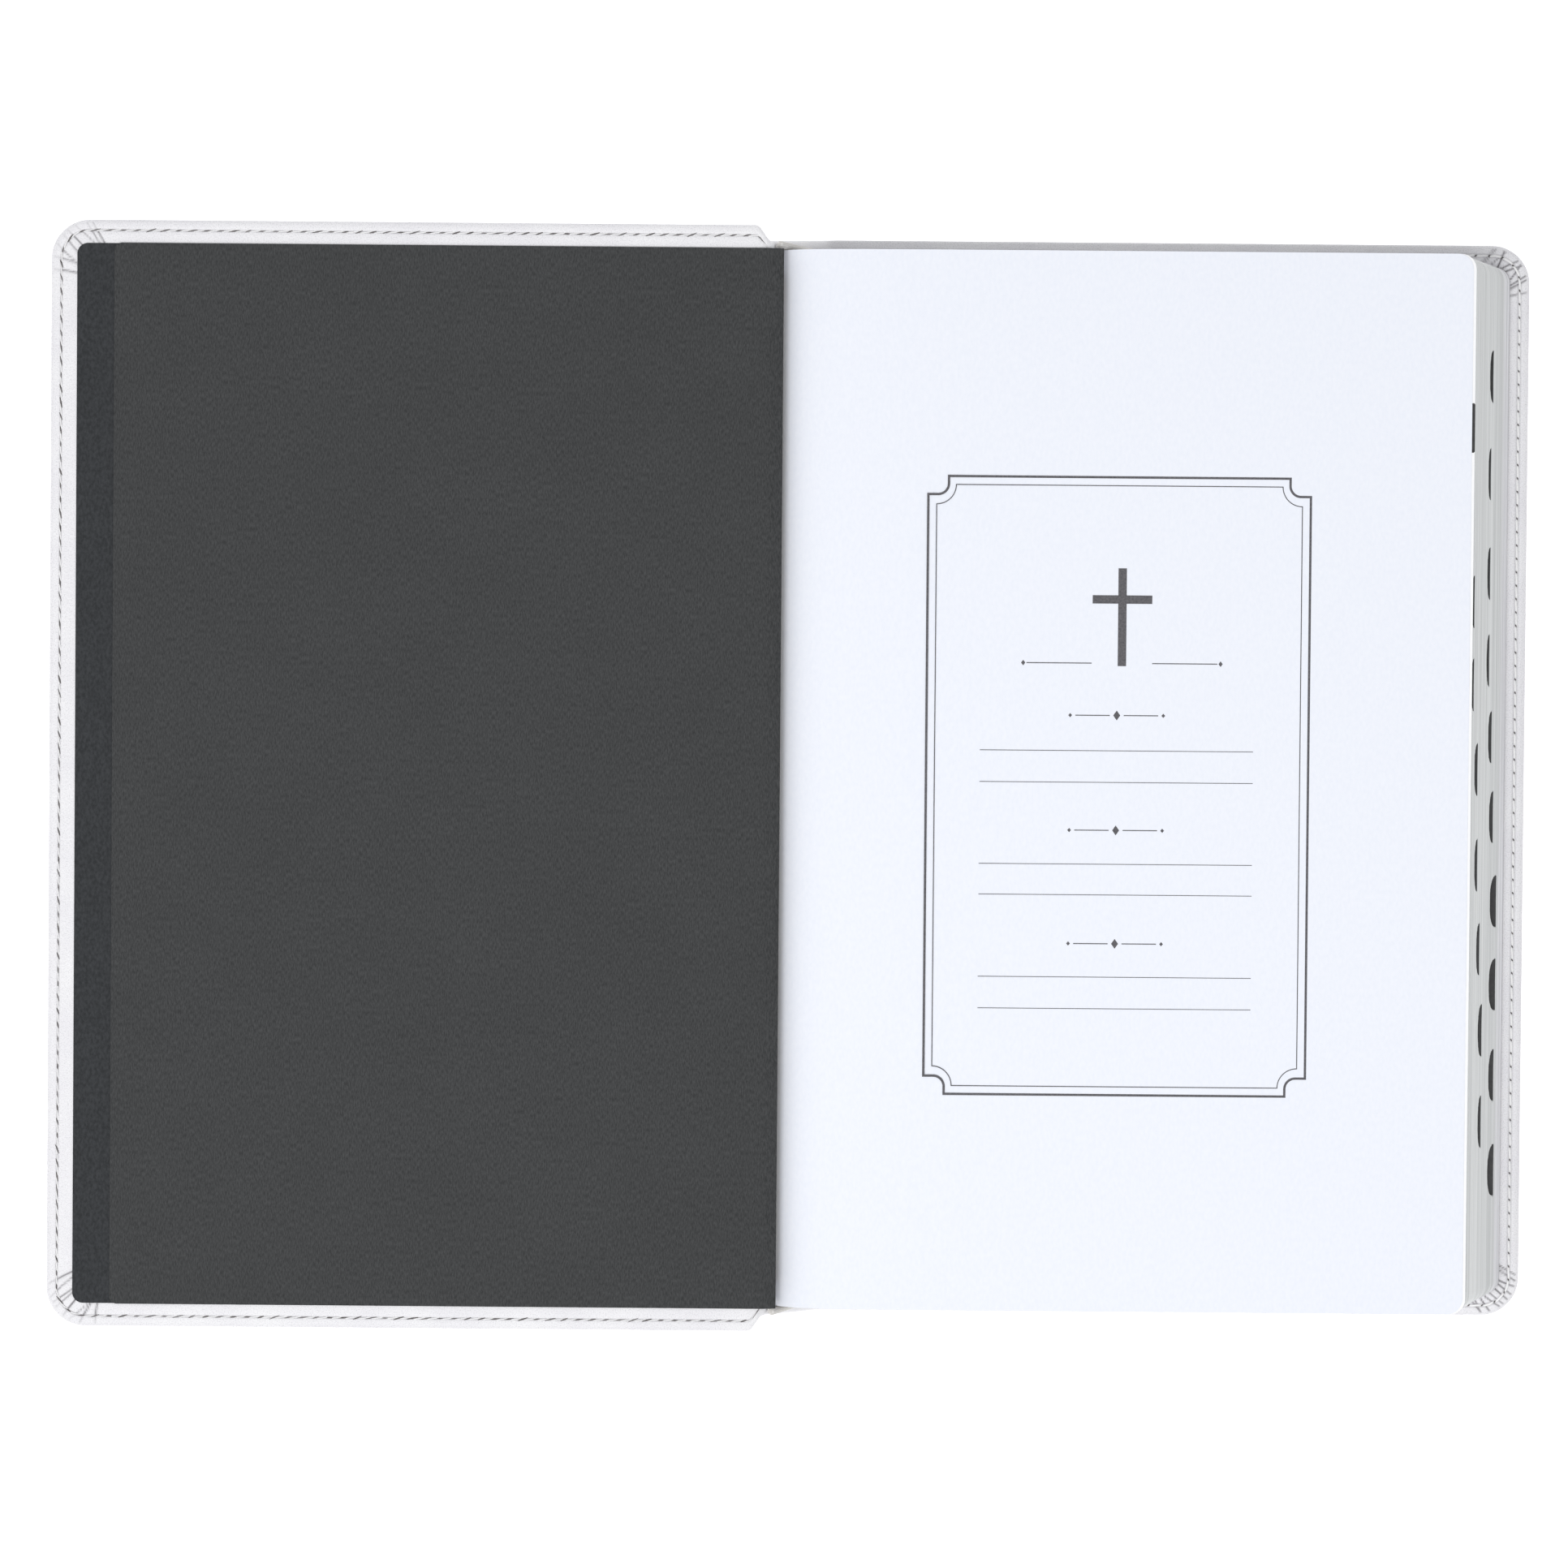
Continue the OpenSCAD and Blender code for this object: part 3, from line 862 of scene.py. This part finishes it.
def leaf_points(bound, fore, half, r, low, high, stations, sag):
    """A leaf from its bound edge to its fore-edge. stations are distances from the bound edge."""
    way = 1 if fore > bound else -1
    stations = np.asarray(stations, float)
    x = np.concatenate([bound + way * stations, fore - way * (r - r * np.sin(CORNER_ARC))])
    y = np.concatenate([np.full(len(stations), -half), -half + r - r * np.cos(CORNER_ARC)])
    x, y = np.concatenate([x, x[::-1]]), np.concatenate([y, -y[::-1]])
    down = sag(x)
    n, steps = len(x), len(stations)
    points = np.concatenate([np.column_stack([x, y, z - down]) for z in (low, high)])
    return points, ring_faces(2, n) + cap_faces(0, n, steps) + cap_faces(n, n, steps)


def plate(rim, low, high):
    """A flat plate from its outline."""
    rim = np.asarray(rim, float)
    n = len(rim)
    points = np.concatenate([np.column_stack([rim, np.full(n, z)]) for z in (low, high)])
    return points, [tuple(range(n)), tuple(range(n, 2 * n))] + ring_faces(2, n)


def page_sag(x):
    return gutter_sag(np.maximum(x - BLOCK_BACK_TOP, 0))


def leaf_piece(name, shapes, material, stands_for=()):
    """A piece made of one or more leaves."""
    obj = sharpen(make_mesh(name, *join_shapes(shapes)), PAGE_SHARP)
    return finish_piece(obj, [material], stands_for)


NEAR_GUTTER = np.concatenate([np.arange(0, 5, 0.16), np.arange(5, 9, 0.4), np.arange(9, 20, 0.8),
                              [22, 26, 32, 40, 52]])
leaf_low, leaf_high = box_mm("presentation_leaf")
record_low, record_high = box_mm("record_pages")

RECORD_SHORT = (0.0, 0.1, 0.02, 0.14, 0.06)      # how far each record leaf ends before the widest one
pitch = (record_high[2] - record_low[2]) / len(RECORD_SHORT)
shapes = []
for i, short in enumerate(RECORD_SHORT):
    low = record_low[2] + i * pitch
    shapes.append(leaf_points(record_low[0], record_high[0] - short, PAGE_HALF, PAGE_CORNER_R,
                              low + 0.005, low + pitch - 0.01, NEAR_GUTTER, page_sag))
record_leaves = leaf_piece("record_leaves", shapes, RECORD_PAPER, ["record_pages"])
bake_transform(record_leaves)

# The first label lies on the record pages, just past the edge of the presentation leaf
in_x, out_x, tail_y, head_y = leaf_high[0] + 0.03, record_high[0] - 0.04, 71.4, 82.0
rim = [(in_x, tail_y), (out_x - 0.2, tail_y), (out_x, tail_y + 0.3),
       (out_x, head_y - 0.3), (out_x - 0.2, head_y), (in_x, head_y)]
top_label = make_mesh("thumb_label_top", *plate(rim, record_high[2], record_high[2] + 0.06), smooth=False)
finish_piece(top_label, [LABEL])
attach(top_label, "record_pages")

page_leaf = leaf_piece(
    "page_leaf", [leaf_points(leaf_low[0], leaf_high[0], PAGE_HALF, PAGE_CORNER_R, leaf_low[2], leaf_high[2],
                              NEAR_GUTTER, page_sag)],
    WHITE_PAPER, ["presentation_leaf"])
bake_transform(page_leaf)

# The front endpaper: the flyleaf, and the soft fold that takes it over the front joint into the gutter
fly_low, fly_high = box_mm("front_flyleaf")
FLY_EDGE = LEAF_HINGE[0] + 0.7
JOIN_X = fly_high[0] + 0.05
FLY_R = 1.6
FLY_BEND_W = 2.5
FOLD_DROP, FOLD_RUN = 1.1, 4.2


def flyleaf_sag(x):
    return FOLD_DROP * np.clip((x - (FLY_EDGE - FOLD_RUN)) / FOLD_RUN, 0, 1) ** 2


fly_stations = np.concatenate([np.arange(0, FLY_BEND_W + 0.6, 0.1), NEAR_GUTTER[NEAR_GUTTER > FLY_BEND_W + 0.7]])
flyleaf = leaf_piece(
    "flyleaf", [leaf_points(JOIN_X, fly_low[0], PAGE_HALF, FLY_R, fly_low[2], fly_high[2],
                            fly_stations, flyleaf_sag)],
    ENDPAPER, ["front_flyleaf"])
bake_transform(flyleaf)

fold = leaf_piece(
    "flyleaf_fold", [leaf_points(FLY_EDGE, JOIN_X, PAGE_HALF, 0.001, fly_low[2], fly_high[2],
                                 np.arange(0, FLY_EDGE - JOIN_X - 0.05, 0.15), flyleaf_sag)],
    ENDPAPER)
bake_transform(fold)


# ---- the printing on the presentation leaf: plain rules and ornaments, with no words ----

PRINT_Z = (leaf_high[2], leaf_high[2] + 0.02)
PRINT_X, PRINT_Y = 68.28, -0.9      # centre of the printed frame on the leaf
FRAME_HALF = (41.05, 66.4)
RULE_X, RULE_W, RULE_T = 68.1, 58.7, 0.14
RULE_ROWS = (6.8, 0.0, -17.6, -24.2, -41.9, -48.7)
ORNAMENT_ROWS = (14.4, -10.3, -34.7)
CROSS_X, CROSS_Y = 69.1, 36.0
CROSS_RIM = [(-0.9, -11), (0.9, -11), (0.9, 2.4), (6.4, 2.4), (6.4, 4.2), (0.9, 4.2), (0.9, 10), (-0.9, 10),
             (-0.9, 4.2), (-6.4, 4.2), (-6.4, 2.4), (-0.9, 2.4)]
CROSS_FOOT = 10.4                   # the short rules beside the cross lie this far below its centre


def flat_shape(rim):
    """A thin printed shape from its outline."""
    return plate(rim, *PRINT_Z)


def closed_line(path, width):
    """A printed line of even width round a closed path."""
    path = np.asarray(path, float)
    before, after = np.roll(path, 1, 0), np.roll(path, -1, 0)
    a, b = path - before, after - path
    a /= np.hypot(*a.T)[:, None]
    b /= np.hypot(*b.T)[:, None]
    normal = np.column_stack([a[:, 1] + b[:, 1], -(a[:, 0] + b[:, 0])])
    normal /= np.hypot(*normal.T)[:, None]
    lengthen = np.maximum(np.abs((normal * np.column_stack([a[:, 1], -a[:, 0]])).sum(1)), 0.5)
    side = normal * (width / 2 / lengthen)[:, None]
    outer, inner = path + side, path - side
    n = len(path)
    points = [np.column_stack([ring, np.full(n, z)]) for z in PRINT_Z for ring in (outer, inner)]
    faces = []
    for i in range(n):
        j = (i + 1) % n
        faces += [(i, j, n + j, n + i), (2 * n + i, 2 * n + j, 3 * n + j, 3 * n + i),
                  (i, j, 2 * n + j, 2 * n + i), (n + i, n + j, 3 * n + j, 3 * n + i)]
    return np.concatenate(points), faces


def hollow_corners(inset, r, ledge, rise):
    """A rectangle with a hollow quarter-round at each corner, between a ledge and a short rise."""
    w, h = FRAME_HALF[0] - inset, FRAME_HALF[1] - inset
    path = []
    for sx, sy in ((1, 1), (-1, 1), (-1, -1), (1, -1)):
        turns = np.radians(np.linspace(270, 180, 13))
        corner = [(w, h - r - rise)] * (ledge > 0)
        corner += [(w - ledge + r * math.cos(a), h - rise + r * math.sin(a)) for a in turns]
        corner += [(w - ledge - r, h)] * (rise > 0)
        if sx * sy < 0:
            corner = corner[::-1]
        path += [(PRINT_X + sx * x, PRINT_Y + sy * y) for x, y in corner]
    return path


def bar(x, y, w, h):
    w, h = w / 2, h / 2
    return flat_shape([(x - w, y - h), (x + w, y - h), (x + w, y + h), (x - w, y + h)])


def lozenge(x, y, w, h):
    w, h = w / 2, h / 2
    return flat_shape([(x - w, y), (x, y - h), (x + w, y), (x, y + h)])


def print_shapes():
    """The double frame, the writing rules, the ornaments between them and the cross."""
    shapes = [closed_line(hollow_corners(0, 2.3, 2.1, 1.6), 0.5), closed_line(hollow_corners(1.8, 4.2, 0, 0), 0.2)]
    shapes += [bar(RULE_X, y, RULE_W, RULE_T) for y in RULE_ROWS]
    for y in ORNAMENT_ROWS:
        shapes += [lozenge(RULE_X, y, 1.5, 2.1), bar(RULE_X - 5.2, y, 7.4, 0.2), bar(RULE_X + 5.2, y, 7.4, 0.2),
                   lozenge(RULE_X - 10.0, y, 0.8, 0.9), lozenge(RULE_X + 10.0, y, 0.8, 0.9)]
    shapes.append(flat_shape([(CROSS_X + x, CROSS_Y + y) for x, y in CROSS_RIM]))
    for side in (-1, 1):
        shapes += [bar(CROSS_X + side * 13.5, CROSS_Y - CROSS_FOOT, 14, 0.2),
                   lozenge(CROSS_X + side * 21.2, CROSS_Y - CROSS_FOOT, 0.9, 1.2)]
    return shapes


page_print = make_mesh("page_print", *join_shapes(print_shapes()), smooth=False)
finish_piece(page_print, [INK])
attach(page_print, "presentation_leaf")


# ---- head and tail bands: cord wrapped in cloth, along the block's back ----

BAND_R = 0.8
BAND_START, BAND_END = 3.0, SPINE_L - 2.2
BAND_SIDES = 14
CORD_PITCH = 0.66
FLANGE_W = 6.4


def band_piece(name, node, sign):
    """A cord along the block's back, with the flap of cloth that glues it down. sign is 1 at the head."""
    low, high = box_mm(node)
    middle = abs(high[1] if sign > 0 else low[1]) - BAND_R
    start, end = BAND_START, BAND_END
    up = np.array([-math.cos(SLOPE), math.sin(SLOPE)])
    inward = np.array([math.sin(SLOPE), math.cos(SLOPE)])
    along = np.arange(start + 0.3, end - 0.3, 0.11)
    radius = BAND_R * (0.93 + 0.07 * np.cos(along * 2 * math.pi / CORD_PITCH))
    along = np.concatenate([[start, start + 0.1], along, [end - 0.1, end]])
    radius = np.concatenate([[BAND_R * 0.45, BAND_R * 0.8], radius, [BAND_R * 0.8, BAND_R * 0.45]])
    points = []
    for q, r in zip(along, radius):
        for k in range(BAND_SIDES):
            a = 2 * math.pi * k / BAND_SIDES
            x, z = BACK_HINGE + up * q + inward * (BAND_R + r * math.cos(a))
            points.append((x, sign * (middle + r * math.sin(a)), z))
    n = len(along)
    faces = ring_faces(n, BAND_SIDES)
    faces += [tuple(range(BAND_SIDES)), tuple((n - 1) * BAND_SIDES + k for k in range(BAND_SIDES))]
    cord = (np.array(points), faces)
    rim = []
    for depth in (0.02, 0.3):
        for q, y in ((start, middle), (end, middle), (end, middle - FLANGE_W), (start, middle - FLANGE_W)):
            x, z = BACK_HINGE + up * q + inward * depth
            rim.append((x, sign * y, z))
    flange = (np.array(rim), [(0, 1, 2, 3), (4, 5, 6, 7), (0, 1, 5, 4), (1, 2, 6, 5), (2, 3, 7, 6), (3, 0, 4, 7)])
    obj = sharpen(make_mesh(name, *join_shapes([cord, flange])), BAND_SHARP)
    finish_piece(obj, [BAND], [node])
    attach(obj, "spine")


band_piece("head_cord", "head_band", 1)
band_piece("tail_cord", "tail_band", -1)


# ---- CAD nodes that stay, with better materials ----

KEPT = {
    "front_board": BOARD, "back_board": BOARD, "spine_inlay": BOARD, "mull": LINING,
    "front_pastedown": PASTEDOWN, "back_pastedown": PASTEDOWN, "back_flyleaf": ENDPAPER,
}
for node, material in KEPT.items():
    data = frame["nodes"][node].data
    data.materials.clear()
    data.materials.append(material)


# ---- floor, light and camera ----

FLOOR_HALF, FLOOR_Z = 4000.0, -0.05
FLOOR_GLOW = 0.6
WORLD_LIGHT = 0.5


def floor_piece():
    corners = ((-1, -1), (1, -1), (1, 1), (-1, 1))
    obj = make_mesh("floor", [(FLOOR_HALF * x, FLOOR_HALF * y, FLOOR_Z) for x, y in corners], [(0, 1, 2, 3)])
    m, t, s = new_material("floor", roughness=0.8)
    value = noise_value(t, 3.0, detail=1.0)
    paint(t, s, ramp(t, value, [(0.0, (0.93, 0.93, 0.93)), (1.0, (0.95, 0.95, 0.95))]))
    s.inputs["Emission Color"].default_value = (1, 1, 1, 1)
    s.inputs["Emission Strength"].default_value = FLOOR_GLOW
    obj.data.materials.append(m)


def area_light(name, position, size, power, colour=(1, 1, 1)):
    """A square light, in metres and watts, that points at the origin."""
    data = bpy.data.lights.new(name, "AREA")
    data.shape = "SQUARE"
    data.size = size
    data.energy = power
    data.color = colour
    obj = bpy.data.objects.new(name, data)
    obj.location = position
    obj.rotation_euler = (-Vector(position)).to_track_quat("-Z", "Y").to_euler()
    bpy.context.scene.collection.objects.link(obj)


floor_piece()
area_light("key_light", (-0.38, -0.45, 1.9), 1.0, 20.5)
area_light("fill_light", (0.3, -0.6, 1.9), 1.6, 3.0, (0.97, 0.98, 1.0))

world = bpy.data.worlds.new("studio")
bpy.context.scene.world = world
world.use_nodes = True
background = world.node_tree.nodes["Background"]
background.inputs["Color"].default_value = (0.98, 0.985, 1.0, 1)
background.inputs["Strength"].default_value = WORLD_LIGHT

CAMERA_X, CAMERA_Y, CAMERA_Z = -3.45, -0.9, 1143
CAMERA_LEAN = 25.0      # the photo looks down from slightly towards the head, at the open page
PAGE_Z = 40
CAMERA_ROLL = 0.47      # degrees

camera_data = bpy.data.cameras.new("camera")
camera_data.lens = 117.9
camera_data.sensor_width = 36.0
camera_data.clip_end = 20.0
camera = bpy.data.objects.new("camera", camera_data)
camera.location = at(CAMERA_X, CAMERA_Y + CAMERA_LEAN, CAMERA_Z)
camera.rotation_euler = (-math.atan2(CAMERA_LEAN, CAMERA_Z - PAGE_Z), 0, math.radians(CAMERA_ROLL))
bpy.context.scene.collection.objects.link(camera)
bpy.context.scene.camera = camera
bpy.context.scene.view_settings.view_transform = "Standard"
